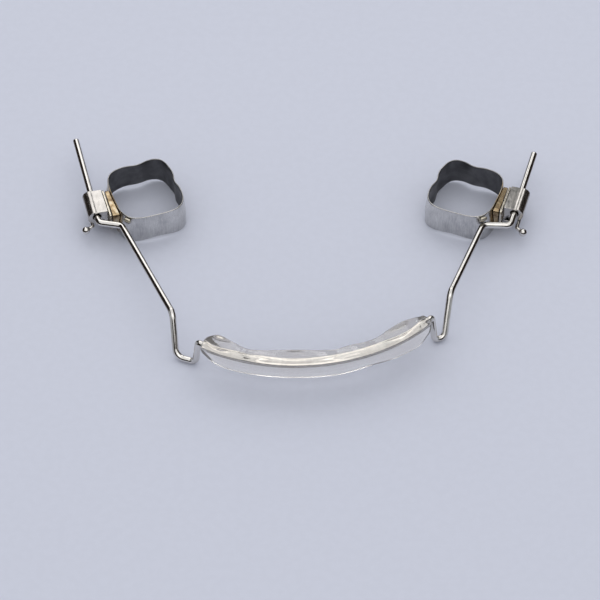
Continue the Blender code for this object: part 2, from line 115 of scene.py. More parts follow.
def linkObject(name, data):
    made = bpy.data.objects.new(name, data)
    bpy.context.scene.collection.objects.link(made)
    return made


def meshFrom(name, work, smoothAngle=35):
    bmesh.ops.remove_doubles(work, verts=work.verts, dist=mergeDistance)
    bmesh.ops.recalc_face_normals(work, faces=work.faces)
    mesh = bpy.data.meshes.new(name)
    work.to_mesh(mesh)
    work.free()
    mesh.shade_smooth()
    mesh.set_sharp_from_angle(angle=radians(smoothAngle))
    return mesh


def skin(name, rows, closedRows=False, capEnds=False, smoothAngle=35):
    # Faces between rows of points; each row is a closed ring
    work = bmesh.new()
    made = [[work.verts.new(point) for point in row] for row in rows]
    pairs = list(zip(made, made[1:]))
    if closedRows:
        pairs.append((made[-1], made[0]))
    for lower, upper in pairs:
        for index in range(len(lower)):
            after = (index + 1) % len(lower)
            work.faces.new((lower[index], lower[after], upper[after], upper[index]))
    if capEnds:
        work.faces.new(made[0][::-1])
        work.faces.new(made[-1])
    return meshFrom(name, work, smoothAngle)


def evaluatedMesh(host):
    # The finished mesh of an object with its modifiers, and the object itself removed
    bpy.context.view_layer.update()
    depsgraph = bpy.context.evaluated_depsgraph_get()
    mesh = bpy.data.meshes.new_from_object(host.evaluated_get(depsgraph))
    bpy.data.objects.remove(host, do_unlink=True)
    return mesh


def placeMesh(mesh, matrix):
    mesh.transform(matrix)
    if matrix.determinant() < 0:
        mesh.flip_normals()
    mesh.update()


def paintPoints(mesh, name, values):
    mesh.attributes.new(name, "FLOAT", "POINT").data.foreach_set("value", values)


def finishPiece(name, mesh, material, body, node):
    # Without a material, the piece keeps the one that its node tree set
    mesh.name = name
    material = material or mesh.materials[-1]
    mesh.materials.clear()
    mesh.materials.append(material)
    mesh.polygons.foreach_set("material_index", [0] * len(mesh.polygons))
    piece = linkObject(name, mesh)
    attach(piece, body)
    if node:
        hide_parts(node)


def unitPiece(name, label, mesh, material, node):
    # A piece of one molar unit; names are given without their side
    finishPiece(name + "_" + label, mesh, material, label + "_molar_unit", node and node + "_" + label)


def ease(share):
    return share * share * (3 - 2 * share)


def clamp(value):
    return min(max(value, 0.0), 1.0)


def signedPower(value, power):
    return copysign(abs(value) ** power, value)


def shares(steps):
    # Even shares from 0 to 1
    return [step / steps for step in range(steps + 1)]


# Material helpers
def newMaterial(name):
    material = bpy.data.materials.new(name)
    material.use_nodes = True
    tree = material.node_tree
    return material, tree, tree.nodes["Principled BSDF"]


def objectPlace(tree):
    return addNode(tree, "ShaderNodeTexCoord").outputs["Object"]


def readPoints(tree, name, output="Fac"):
    return addNode(tree, "ShaderNodeAttribute", attribute_name=name).outputs[output]


def noiseAt(tree, where, scale=1.0, detail=3.0, roughness=0.5, distortion=0.0):
    inputs = {"Vector": where, "Scale": scale, "Detail": detail, "Roughness": roughness}
    inputs["Distortion"] = distortion
    return addNode(tree, "ShaderNodeTexNoise", inputs).outputs["Fac"]


def stretched(tree, where, scale):
    return addNode(tree, "ShaderNodeMapping", {"Vector": where, "Scale": scale}).outputs["Vector"]


def mathNode(tree, operation, *values):
    return addNode(tree, "ShaderNodeMath", dict(enumerate(values)), operation=operation).outputs["Value"]


def mixColours(tree, share, first, second):
    inputs = {"Factor": share, "A": first, "B": second}
    return addNode(tree, "ShaderNodeMix", inputs, data_type="RGBA").outputs["Result"]


def ramp(tree, factor, stops):
    made = addNode(tree, "ShaderNodeValToRGB", {"Fac": factor})
    elements = made.color_ramp.elements
    while len(elements) < len(stops):
        elements.new(0.5)
    for element, (place, colour) in zip(elements, stops):
        element.position = place
        element.color = (*colour, 1)
    return made.outputs["Color"]


def mapRange(tree, value, start, end, low=0.0, high=1.0):
    inputs = {"Value": value, "From Min": start, "From Max": end, "To Min": low, "To Max": high}
    return addNode(tree, "ShaderNodeMapRange", inputs).outputs["Result"]


def spread(tree, factor, low, high):
    # Noise lies mostly between these two values
    return mapRange(tree, factor, 0.3, 0.7, low, high)


def bump(tree, height, distance, strength, before=None):
    inputs = {"Height": height, "Distance": distance, "Strength": strength}
    if before is not None:
        inputs["Normal"] = before
    return addNode(tree, "ShaderNodeBump", inputs).outputs["Normal"]


def steelMaterial(name, look):
    # Drawn or burnished streaks, cloudy polish and fine pits; heat tints, and an etched inside darkened
    # further with painted shade, where asked
    material, tree, shader = newMaterial(name)
    where = readPoints(tree, look["follow"], "Vector") if look.get("follow") else objectPlace(tree)
    streaks = noiseAt(tree, stretched(tree, where, look["streaks"][0]), detail=4.0, roughness=0.6)
    clouds = noiseAt(tree, where, look["clouds"][0], roughness=0.55, distortion=0.4)
    pits = noiseAt(tree, where, look["pits"][0], detail=2.0)
    half = mathNode(tree, "MULTIPLY", mathNode(tree, "ADD", streaks, clouds), 0.5)
    colour = ramp(tree, half, ((0.34, look["dark"]), (0.66, look["light"])))
    if look.get("heat"):
        patchy = mathNode(tree, "MULTIPLY_ADD", clouds, *look["heatPatches"])
        patchy = mathNode(tree, "MULTIPLY", patchy, readPoints(tree, "weldTint"))
        share = mapRange(tree, patchy, *look["heatStart"])
        colour = mixColours(tree, share, colour, ramp(tree, patchy, look["heat"]))
    rough = spread(tree, half, *look["roughness"])
    if look.get("etchedAndShaded"):
        # Inside the band the colour turns to etched grey, darkened further as painted shade of the hollow
        # inside the band
        inside = readPoints(tree, "inside")
        colour = mixColours(tree, inside, colour, ramp(tree, clouds, look["etchedAndShaded"]))
        rough = mathNode(tree, "MULTIPLY_ADD", inside, look["etchRoughness"], rough)
    normal = bump(tree, streaks, *look["streaks"][1:])
    normal = bump(tree, clouds, *look["clouds"][1:], normal)
    normal = bump(tree, pits, *look["pits"][1:], normal)
    feed(tree, shader, {"Base Color": colour, "Roughness": rough, "Normal": normal, "Metallic": 1.0})
    tidyNodes(tree)
    return material


# Streaks, clouds and pits are each a scale per metre, a depth and a strength
wireLook = {
    "follow": "grain",
    "streaks": ((500, 11000, 11000), 0.004 * mm, 0.5),
    "clouds": (700, 0.01 * mm, 0.4),
    "pits": (9000, 0.002 * mm, 0.3),
    "dark": (0.60, 0.585, 0.565),
    "light": (0.80, 0.78, 0.755),
    "roughness": (0.08, 0.16),
}
bandLook = {
    "streaks": ((7000, 7000, 500), 0.006 * mm, 0.6),
    "clouds": (420, 0.05 * mm, 0.5),
    "pits": (6000, 0.003 * mm, 0.3),
    "dark": (0.42, 0.42, 0.42),
    "light": (0.70, 0.69, 0.68),
    "roughness": (0.14, 0.30),
    "heat": ((0.15, (0.62, 0.57, 0.46)), (0.45, (0.50, 0.39, 0.24)), (0.80, (0.17, 0.115, 0.07))),
    "heatPatches": (3.0, -0.5),
    "heatStart": (0.12, 0.45),
    # The inside: etched matte steel, painted darker as the shade inside the band
    "etchedAndShaded": ((0.3, (0.10, 0.10, 0.105)), (0.7, (0.22, 0.22, 0.225))),
    "etchRoughness": 0.25,
}
flangeLook = dict(
    bandLook,
    streaks=((2500, 2500, 2500), 0.006 * mm, 0.6),
    clouds=(900, 0.05 * mm, 0.5),
    dark=(0.46, 0.42, 0.34),
    light=(0.78, 0.74, 0.66),
    roughness=(0.16, 0.32),
    etchedAndShaded=None,
)
tubeLook = {
    "streaks": ((3000, 700, 9000), 0.004 * mm, 0.5),
    "clouds": (600, 0.02 * mm, 0.4),
    "pits": (8000, 0.004 * mm, 0.4),
    "dark": (0.44, 0.425, 0.41),
    "light": (0.68, 0.655, 0.63),
    "roughness": (0.16, 0.30),
}
solderLook = dict(
    tubeLook,
    streaks=((1500, 1500, 1500), 0.004 * mm, 0.5),
    clouds=(600, 0.05 * mm, 0.4),
    dark=(0.40, 0.37, 0.30),
    light=(0.70, 0.66, 0.56),
    roughness=(0.28, 0.45),
)
acrylicLook = {
    "tint": (0.985, 0.955, 0.92),
    "clear": (0.995, 0.98, 0.955),
    "roughness": (0.01, 0.04),
    "index": 1.49,
    "milkiness": 0.10,
    "clouds": (260, 0.02 * mm, 0.3),
    "grain": (7000, 0.002 * mm, 0.2),
    "rubScale": (500, 2500, 2500),
}


def acrylicMaterial(name, look):
    # Clear moulded acrylic, a little milky with age and wavy from polishing by hand
    material, tree, shader = newMaterial(name)
    where = objectPlace(tree)
    clouds = noiseAt(tree, where, look["clouds"][0], detail=2.0)
    rub = noiseAt(tree, stretched(tree, where, look["rubScale"]), roughness=0.6)
    grain = noiseAt(tree, where, look["grain"][0], detail=2.0)
    normal = bump(tree, clouds, *look["clouds"][1:])
    inputs = {
        "Base Color": ramp(tree, clouds, ((0.35, look["tint"]), (0.65, look["clear"]))),
        "Roughness": spread(tree, rub, *look["roughness"]),
        "Normal": bump(tree, grain, *look["grain"][1:], normal),
        "IOR": look["index"],
        "Transmission Weight": 1 - look["milkiness"],
    }
    feed(tree, shader, inputs)
    tidyNodes(tree)
    return material


wireSteel = steelMaterial("drawnWireSteel", wireLook)
bandSteel = steelMaterial("burnishedBandSteel", bandLook)
flangeSteel = steelMaterial("heatTintedFlange", flangeLook)
tubeSteel = steelMaterial("milledTubeSteel", tubeLook)
solderSilver = steelMaterial("silverSolder", solderLook)
clearAcrylic = acrylicMaterial("clearAcrylic", acrylicLook)
print("materials made")


# Geometry Nodes: a round bar swept along a route, and small domes set on points
def newTree(name, sockets):
    tree = bpy.data.node_groups.new(name, "GeometryNodeTree")
    tree.interface.new_socket("Geometry", in_out="INPUT", socket_type="NodeSocketGeometry")
    for label, kind in sockets:
        tree.interface.new_socket(label, in_out="INPUT", socket_type="NodeSocket" + kind)
    tree.interface.new_socket("Geometry", in_out="OUTPUT", socket_type="NodeSocketGeometry")
    return tree, tree.nodes.new("NodeGroupInput").outputs, tree.nodes.new("NodeGroupOutput")


def storePoints(tree, geometry, name, value, kind="FLOAT"):
    inputs = {"Geometry": geometry, "Name": name, "Value": value}
    return addNode(tree, "GeometryNodeStoreNamedAttribute", inputs, data_type=kind).outputs["Geometry"]


def namedPoints(tree, name, kind="FLOAT"):
    made = addNode(tree, "GeometryNodeInputNamedAttribute", {"Name": name}, data_type=kind)
    return made.outputs["Attribute"]


def finishTree(tree, mesh, material, output):
    # Every tree ends with real geometry that has its material
    real = addNode(tree, "GeometryNodeRealizeInstances", {"Geometry": mesh}).outputs["Geometry"]
    finish = addNode(tree, "GeometryNodeSetMaterial", {"Geometry": real, "Material": material})
    feed(tree, output, {"Geometry": finish.outputs["Geometry"]})
    tidyNodes(tree)
    return tree


def sweepTree():
    # The route's own "girth" attribute thins the bar; "grain" keeps each point's place along and around it
    sockets = (("Radius", "Float"), ("Sides", "Int"), ("Finish", "Material"))
    tree, given, output = newTree("sweepAlongRoute", sockets)
    route = addNode(tree, "GeometryNodeMeshToCurve", {"Mesh": given["Geometry"]}).outputs["Curve"]
    length = addNode(tree, "GeometryNodeSplineParameter").outputs["Length"]
    ringInputs = {"Resolution": given["Sides"], "Radius": given["Radius"]}
    ring = addNode(tree, "GeometryNodeCurvePrimitiveCircle", ringInputs, mode="RADIUS").outputs["Curve"]
    position = addNode(tree, "GeometryNodeInputPosition").outputs["Position"]
    barInputs = {
        "Curve": storePoints(tree, route, "along", length),
        "Profile Curve": storePoints(tree, ring, "rim", position, "FLOAT_VECTOR"),
        "Scale": namedPoints(tree, "girth"),
        "Fill Caps": True,
    }
    bar = addNode(tree, "GeometryNodeCurveToMesh", barInputs).outputs["Mesh"]
    rim = addNode(tree, "ShaderNodeSeparateXYZ", {"Vector": namedPoints(tree, "rim", "FLOAT_VECTOR")})
    grainInputs = {"X": namedPoints(tree, "along"), "Y": rim.outputs["X"], "Z": rim.outputs["Y"]}
    grain = addNode(tree, "ShaderNodeCombineXYZ", grainInputs).outputs["Vector"]
    named = storePoints(tree, bar, "grain", grain, "FLOAT_VECTOR")
    smooth = addNode(tree, "GeometryNodeSetShadeSmooth", {"Geometry": named})
    return finishTree(tree, smooth.outputs["Geometry"], given["Finish"], output)


def domeTree():
    # Flattened domes on the host's points, each turned to the point's facing and a little different in size
    sockets = [(label, "Float") for label in ("Radius", "Height", "Spread")]
    sockets += [("Seed", "Int"), ("Finish", "Material")]
    tree, given, output = newTree("domesOnPoints", sockets)
    radius, change = given["Radius"], given["Spread"]
    ball = addNode(tree, "GeometryNodeMeshUVSphere", {"Segments": 20, "Rings": 10, "Radius": 1.0})
    size = addNode(tree, "ShaderNodeCombineXYZ", {"X": radius, "Y": radius, "Z": given["Height"]})
    facing = namedPoints(tree, "facing", "FLOAT_VECTOR")
    turn = addNode(tree, "FunctionNodeAlignRotationToVector", {"Vector": facing}, axis="Z")
    limits = {2: mathNode(tree, "SUBTRACT", 1.0, change), 3: mathNode(tree, "ADD", 1.0, change)}
    vary = addNode(tree, "FunctionNodeRandomValue", {**limits, "Seed": given["Seed"]}, data_type="FLOAT")
    scaleInputs = {0: size.outputs["Vector"], "Scale": vary.outputs[1]}
    placedInputs = {
        "Points": given["Geometry"],
        "Instance": ball.outputs["Mesh"],
        "Rotation": turn.outputs["Rotation"],
        "Scale": addNode(tree, "ShaderNodeVectorMath", scaleInputs, operation="SCALE").outputs["Vector"],
    }
    placed = addNode(tree, "GeometryNodeInstanceOnPoints", placedInputs)
    return finishTree(tree, placed.outputs["Instances"], given["Finish"], output)


barEdgeAngle = radians(45)


def runTree(tree, host, values):
    modifier = host.modifiers.new("nodes", "NODES")
    modifier.node_group = tree
    for item in tree.interface.items_tree:
        if item.in_out == "INPUT" and item.name in values:
            modifier[item.identifier] = values[item.name]
    mesh = evaluatedMesh(host)
    work = bmesh.new()
    work.from_mesh(mesh)
    bmesh.ops.recalc_face_normals(work, faces=work.faces)
    work.to_mesh(mesh)
    work.free()
    mesh.shade_smooth()
    mesh.set_sharp_from_angle(angle=barEdgeAngle)
    return mesh


sweep = sweepTree()
domes = domeTree()


def sweptBar(name, bar, radius, sidesCount, material):
    # The bar is a list of points along its middle, each with its girth
    route, girths = (list(values) for values in zip(*bar))
    mesh = bpy.data.meshes.new(name + "Route")
    mesh.from_pydata(route, [(index, index + 1) for index in range(len(route) - 1)], [])
    paintPoints(mesh, "girth", girths)
    host = linkObject(name + "Route", mesh)
    return runTree(sweep, host, {"Radius": radius, "Sides": sidesCount, "Finish": material})


def domesAt(name, places, facings, settings, material):
    mesh = bpy.data.meshes.new(name + "Points")
    mesh.from_pydata(places, [], [])
    facing = mesh.attributes.new("facing", "FLOAT_VECTOR", "POINT")
    facing.data.foreach_set("vector", [value for vector in facings for value in vector])
    host = linkObject(name + "Points", mesh)
    return runTree(domes, host, dict(settings, Finish=material))


# The bow: one steel wire from free end to free end
bow = {
    "wire": 0.9 * mm,
    "radius": 24.0 * mm,
    "height": 4.4 * mm,
    "halfAngle": radians(40.2),
    "turn": radians(8.4),
    "arcSteps": 96,
    "shoulderHeight": 5.0 * mm,
    "tubeHeight": 3.1 * mm,
    "tubeLength": 4.4 * mm,
    "bends": (0.8 * mm, 0.9 * mm, 1.5 * mm, 1.6 * mm, 0.9 * mm, 0.8 * mm),
    "bendStep": radians(5),
    "sides": 36,
    "endRounding": 0.14 * mm,
    "endSteps": 6,
}
wireRadius = bow["wire"] / 2
sharedRun = 0.48  # share of a straight run that a bend may take, where another bend stands at its far end
freeRun = 0.92  # and where none does


def bowPoint(angle, centre):
    turned = angle + bow["turn"]
    flat = Vector((bow["radius"] * sin(turned), -bow["radius"] * cos(turned), bow["height"]))
    return flat + centre


def tubeDirection(side):
    return Vector((side["outward"] * sin(side["toeOut"]), cos(side["toeOut"]), 0))


def armCorners(side, centre):
    # Corners of one arm, from the bow's end to the free end behind the tube
    heights = (wireRadius, wireRadius, bow["shoulderHeight"], bow["tubeHeight"], bow["tubeHeight"])
    armOut = side["armLength"] * sin(side["armSplay"])
    armBack = side["armLength"] * cos(side["armSplay"])
    here = bowPoint(side["outward"] * bow["halfAngle"], centre)
    corners = [here]
    for (out, back), height in zip(side["loopSteps"] + ((armOut, armBack), side["offsetStep"]), heights):
        here = Vector((here.x + side["outward"] * out, here.y + back, height))
        corners.append(here)
    corners.append(here + tubeDirection(side) * (side["stub"] + bow["tubeLength"] + side["freeEnd"]))
    return corners


def roundBends(corners, radii, step):
    # Each corner becomes an arc of its radius, no longer than the runs beside it allow
    path = [corners[0]]
    for index in range(1, len(corners) - 1):
        here = corners[index]
        before = corners[index - 1] - here
        after = corners[index + 1] - here
        turn = pi - before.angle(after)
        if radii[index] == 0 or turn < step / 2:
            path.append(here)
            continue
        roomBefore = before.length * (sharedRun if radii[index - 1] else freeRun)
        roomAfter = after.length * (sharedRun if radii[index + 1] else freeRun)
        tangent = min(radii[index] * tan(turn / 2), roomBefore, roomAfter)
        radius = tangent / tan(turn / 2)
        start = here + before.normalized() * tangent
        middle = (before.normalized() + after.normalized()).normalized()
        centre = here + middle * (radius / cos(turn / 2))
        axis = before.cross(after).normalized()
        steps = max(2, ceil(turn / step))
        arm = start - centre
        path += [centre + Matrix.Rotation(-turn * share, 3, axis) @ arm for share in shares(steps)]
    path.append(corners[-1])
    return path


def roundedEnd(end, after, radius, rounding):
    # Points with their girths, from a cut end of the wire to where its rounding is over
    inwards = (after - end).normalized() * rounding
    thin = rounding / radius
    turns = [pi / 2 * share for share in shares(bow["endSteps"])]
    return [(end + inwards * (1 - cos(turn)), 1 - thin * (1 - sin(turn))) for turn in turns]


def full(points):
    return [(point, 1.0) for point in points]


def findBowCentre():
    # The part stands with its box on the origin, so the bow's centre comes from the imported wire's box
    low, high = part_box("labial_bow_wire")
    ends = {label: armCorners(side, Vector())[-1] for label, side in sides.items()}
    reach = {label: wireRadius * cos(side["toeOut"]) for label, side in sides.items()}
    ownMiddle = (ends["left"].x - reach["left"] + ends["right"].x + reach["right"]) / 2
    ownBack = ends["left"].y + wireRadius * sin(sides["left"]["toeOut"])
    ownFront = -bow["radius"] - wireRadius
    return Vector(((low.x + high.x) / 2 - ownMiddle, (low.y + high.y) / 2 - (ownFront + ownBack) / 2, 0))


bowCentre = findBowCentre()
print("bow centre at", [round(value / mm, 3) for value in bowCentre], "mm")


def makeBow():
    left, right = (armCorners(side, bowCentre) for side in sides.values())
    bends = list(bow["bends"]) + [0]
    arc = [bowPoint(bow["halfAngle"] * (2 * share - 1), bowCentre) for share in shares(bow["arcSteps"])[1:-1]]
    path = roundBends(left[::-1] + arc + right, bends[::-1] + [0] * len(arc) + bends, bow["bendStep"])
    front = roundedEnd(path[0], path[1], wireRadius, bow["endRounding"])
    rear = roundedEnd(path[-1], path[-2], wireRadius, bow["endRounding"])
    bar = front + full(path[1:-1]) + rear[::-1]
    mesh = sweptBar("bowWire", bar, wireRadius, bow["sides"], wireSteel)
    finishPiece("bow_wire", mesh, None, "bow", "labial_bow_wire")


makeBow()
print("bow wire made")

# The shield: clear acrylic moulded round the front of the bow; rises and drops are in millimetres,
# from the middle of the bow to each end
shield = {
    "thickness": 2.0 * mm,
    "tipThickness": 1.5 * mm,
    "tipStart": 0.84,
    "leastWall": 0.2 * mm,
    "endGap": 0.65 * mm,
    "endRounding": 0.5 * mm,
    "endSize": 0.45,
    "roundness": 6.0,
    "footRoundness": 3.4,
    "frontRise": 1.2 * mm,
    "stations": 160,
    "points": 56,
    "waver": 0.006 * mm,
    "waverLength": 3.5 * mm,
    "leftRises": (1.41, 1.72, 1.8, 1.56, 1.17, 0.96, 1.76, 2.33, 0.9),
    "leftDrops": (2.45, 2.4, 2.4, 2.4, 2.45, 2.5, 2.5, 2.15, 0.75),
    "rightRises": (1.41, 1.13, 1.42, 1.22, 1.25, 2.03, 2.22, 1.47, 0.5),
    "rightDrops": (2.45, 2.55, 2.45, 2.3, 2.5, 2.8, 2.95, 2.95, 1.6),
}


def smoothValue(values, share):
    # A smooth curve through values given at even places
    place = share * (len(values) - 1)
    index = min(int(place), len(values) - 2)
    before, start, end, after = (values[min(abs(index + step), len(values) - 1)] for step in (-1, 0, 1, 2))
    part = place - index
    bend = 2 * before - 5 * start + 4 * end - after + part * (3 * (start - end) + after - before)
    return start + part * (end - before + part * bend) / 2


def shieldRing(share):
    halfAngle = bow["halfAngle"] - shield["endGap"] / bow["radius"]
    middle = bowPoint(halfAngle * share, bowCentre)
    outward = Vector((middle.x - bowCentre.x, middle.y - bowCentre.y, 0)).normalized()
    away = abs(share)
    label = "left" if share < 0 else "right"
    least = wireRadius + seatGap + shield["leastWall"]
    rise = max(least, smoothValue(shield[label + "Rises"], away) * mm)
    drop = max(least, smoothValue(shield[label + "Drops"], away) * mm)
    tip = max(0.0, away - shield["tipStart"]) / (1 - shield["tipStart"])
    fall = 1 - sqrt(1 - tip * tip)
    half = (shield["thickness"] + (shield["tipThickness"] - shield["thickness"]) * fall) / 2
    toEnd = (1 - away) * halfAngle * bow["radius"]
    closing = max(0.0, 1 - toEnd / shield["endRounding"])
    shrink = shield["endSize"] + (1 - shield["endSize"]) * sqrt(1 - closing * closing)
    ring = []
    for index in range(shield["points"]):
        angle = fullTurn * (index + 0.5) / shield["points"]
        facing = outward * cos(angle) + Vector((0, 0, sin(angle)))
        power = 2 / (shield["roundness"] if facing.z > 0 else shield["footRoundness"])
        across = signedPower(cos(angle), power)
        up = signedPower(sin(angle), power)
        forward = (across + 1) / 2
        up *= rise + (min(rise, shield["frontRise"]) - rise) * forward if up > 0 else drop
        point = middle + (outward * half * across + Vector((0, 0, up))) * shrink
        waver = noise.noise(point / shield["waverLength"]) - 1
        ring.append(point + facing * waver * shield["waver"])
    return ring


def makeShield():
    rows = [shieldRing(sin(pi / 2 * (2 * share - 1))) for share in shares(shield["stations"])]
    mesh = skin("lipShield", rows, capEnds=True, smoothAngle=60)
    finishPiece("clear_shield", mesh, clearAcrylic, "bow", "lip_shield")


makeShield()
print("shield made")

# The molar units: band, flange, double tube, hook and lug on each side
band = {
    "width": 9.4 * mm,
    "height": 4.4 * mm,
    "wall": 0.18 * mm,
    "flare": 0.25 * mm,
    "bulge": 0.12 * mm,
    "land": 0.25 * mm,
    "scallop": 0.55 * mm,
    "scallopWidth": 55,
    "cuspDip": 0.22 * mm,
    "cuspWidth": 40,
    "squareness": 3.6,
    # Two grooves and a lobe: degrees round from the tongue side, half width in degrees, depth
    "dents": ((6, 20, 0.26 * mm), (88, 20, 0.22 * mm), (58, 24, -0.42 * mm)),
    "lean": radians(4),
    "points": 256,
    "cheekSide": (radians(110), radians(254)),
    "cheekSteps": 120,
    "levels": 20,
    "rimSteps": 5,
    "waver": 0.02 * mm,
    "waverLength": 1.8 * mm,
    "waverStretch": 0.6,
    # Depths through the wall over which the inside's etched grey and painted shade come in
    "insideShadeDepths": (0.7, 0.9),
    # Weld tint, fading out along, up and across from a place a little below the flange's middle
    "heat": 1.6,
    "heatDrop": 0.4 * mm,
    "heatReach": (3.6 * mm, 2.6 * mm, 1.4 * mm),
}
flange = {
    "length": 5.45 * mm,
    "overhang": 1.15 * mm,
    "thickness": 0.7 * mm,
    "plate": 0.26 * mm,
    "plateHeat": 0.12,
    "solderGap": 0.15 * mm,
    "padInset": 0.12 * mm,
    "padHeat": 0.55,
    "rise": 0.95 * mm,
    "drop": 1.9 * mm,
    "corner": 0.5 * mm,
    "cornerSteps": 10,
    "edge": 0.05 * mm,
    "flatRings": (0.02, 0.97, 1),
    "fittedRings": (1, 0.97, 0.75, 0.5, 0.25, 0.02),
}
tube = {
    "wall": 0.4 * mm,
    "flankOut": 0.25 * mm,
    "flankDrop": 0.15 * mm,
    "clearance": 0.15 * mm,
    "standoff": 1.55 * mm,
    "offsetAngle": radians(2),
    "slotWidth": 0.71 * mm,
    "slotHeight": 0.56 * mm,
    "slotInset": 0.88 * mm,
    "slotDrop": 1.3 * mm,
    "slotFloor": 0.28 * mm,
    "flatRise": 0.8 * mm,
    "edge": 0.06 * mm,
    "steepest": 0.95,
    "roundPoints": 48,
}
hook = {
    "wire": 0.55 * mm,
    "seatAngle": radians(20),
    "start": 3.2 * mm,
    "ballAhead": 0.45 * mm,
    "ballDrop": 0.1 * mm,
    "ball": 1.1 * mm,
    "bend": 0.4 * mm,
    "neck": 0.18 * mm,
    "sides": 28,
    "bendStep": radians(6),
    "endRounding": 0.12 * mm,
    "neckSteps": 7,
    "neckFlare": 0.15,
    "ballSteps": 24,
    "leastGirth": 0.02,
}
braze = {
    "radius": 0.17 * mm,
    "start": 0.25 * mm,
    "endGap": 0.1 * mm,
    "steps": 40,
    "lumps": 0.25,
    "lumpScale": 6,
    "leastGirth": 0.03,
    "sides": 20,
}
lug = {
    "width": 1.1 * mm,
    "height": 0.6 * mm,
    "depth": 0.45 * mm,
    "belowEdge": 0.1 * mm,
    "seatLevels": 4,
    "place": radians(222),
    "steps": 18,
    # Below 1 each of these squares the bump off: round it, towards its ends, and upright
    "roundPower": 0.7,
    "endPower": 0.6,
    "uprightPower": 0.75,
}
weldSpots = {
    "domes": {"Radius": 0.27 * mm, "Height": 0.045 * mm, "Spread": 0.2, "Seed": 7},
    "heat": 0.8,
    # Millimetres back from the tube's mouth, so in front of it below 0, and up from its bore
    "places": ((-0.75, 0.45), (-0.75, -0.35), (-0.75, -1.2), (-0.3, 0.1), (-0.3, -0.8)),
}
boreRadius = wireRadius + tube["clearance"]
tubeRadius = boreRadius + tube["wall"]
bandAngles = [fullTurn * share for share in shares(band["points"])[:-1]]
cheekStart, cheekEnd = band["cheekSide"]
cheekAngles = [cheekStart + (cheekEnd - cheekStart) * share for share in shares(band["cheekSteps"])]


def dent(angle, place, width):
    # 1 at a place round the band and down to 0 at a width from it, both in degrees
    away = abs((angle - radians(place) + pi) % fullTurn - pi)
    return ease(max(0.0, 1 - away / radians(width)))


def bandReach(angle, length):
    # Angle 0 points to the tongue side and 90 degrees to the rear
    power = band["squareness"]
    reachX = abs(cos(angle)) / (band["width"] / 2)
    reachY = abs(sin(angle)) / (length / 2)
    plain = (reachX ** power + reachY ** power) ** (-1 / power)
    return plain - sum(depth * dent(angle, place, width) for place, width, depth in band["dents"])


def bandSwell(share):
    land = band["land"] / band["height"]
    inner = clamp((share - land) / (1 - 2 * land))
    return band["flare"] * (1 - ease(inner)) + band["bulge"] * sin(pi * inner) ** 2


def bandEdges(angle):
    between = dent(angle, 90, band["scallopWidth"]) + dent(angle, -90, band["scallopWidth"])
    groove = dent(angle, 0, band["cuspWidth"]) + dent(angle, 180, band["cuspWidth"])
    return band["scallop"] * between, band["height"] - band["cuspDip"] * groove


def bandPoint(angle, share, length):
    bottom, top = bandEdges(angle)
    reach = bandReach(angle, length) + bandSwell(share)
    return Vector((reach * cos(angle), reach * sin(angle), bottom + (top - bottom) * share))


def bandCheekReach(length):
    turned = Matrix.Rotation(band["lean"], 3, "Z")
    levels = shares(band["levels"])
    return max(-(turned @ bandPoint(angle, share, length)).x for share in levels for angle in bandAngles)


def bandColumn(angle, length):
    # One upright slice through the wall: up the outside, over the rim, down the inside, under the foot
    ahead, behind = (bandPoint(angle + step, 0.5, length) for step in (0.01, -0.01))
    outward = Vector((ahead.y - behind.y, behind.x - ahead.x, 0)).normalized()
    bottom, top = bandEdges(angle)
    radius = band["wall"] / 2
    outer = []
    for level in shares(band["levels"]):
        share = (radius + (top - bottom - 2 * radius) * level) / (top - bottom)
        point = bandPoint(angle, share, length)
        place = Vector((point.x, point.y, point.z * band["waverStretch"])) / band["waverLength"]
        outer.append(point + outward * (noise.noise(place) - 1) * band["waver"])
    column = list(outer)
    for end, sign in ((outer[-1], 1), (outer[0], -1)):
        centre = end - outward * radius
        for turn in [pi * share for share in shares(band["rimSteps"])[1:-1]]:
            facing = outward * cos(turn) + Vector((0, 0, sin(turn)))
            column.append(centre + facing * radius * sign)
        if sign > 0:
            column += [point - outward * band["wall"] for point in outer[::-1]]
    return column


def insideShare(point, length):
    # 1 on the wall's inner face, which is etched matte and painted darker as shade, and 0 on its outer face
    # and its edges
    angle = atan2(point.y, point.x)
    bottom, top = bandEdges(angle)
    outer = bandPoint(angle, (point.z - bottom) / (top - bottom), length)
    depth = (outer.xy.length - point.xy.length) / band["wall"]
    start, end = band["insideShadeDepths"]
    return clamp((depth - start) / (end - start))


def unitMatrices(label):
    # Places of the unit at the tube's mouth, of its base along the band's cheek side, and of the band
    side = sides[label]
    inward = side["inward"]
    mouth = armCorners(side, bowCentre)[-2] + tubeDirection(side) * side["stub"]
    unit = Matrix.Translation(mouth) @ Matrix.Rotation(inward * side["toeOut"], 4, "Z")
    turn = Matrix.Rotation(inward * tube["offsetAngle"], 4, "Z")
    base = unit @ Matrix.Translation((inward * tube["standoff"], 0, 0)) @ turn
    toCentre = flange["thickness"] + seatGap + bandCheekReach(side["bandLength"])
    seat = base @ Matrix.Translation((inward * toCentre, side["bandSetback"], -bow["tubeHeight"]))
    seat = seat @ Matrix.Rotation(inward * band["lean"], 4, "Z")
    return unit, base, seat


def mirrored(label):
    # Unit shapes are made with inward along X
    return Matrix.Diagonal((sides[label]["inward"], 1, 1, 1))


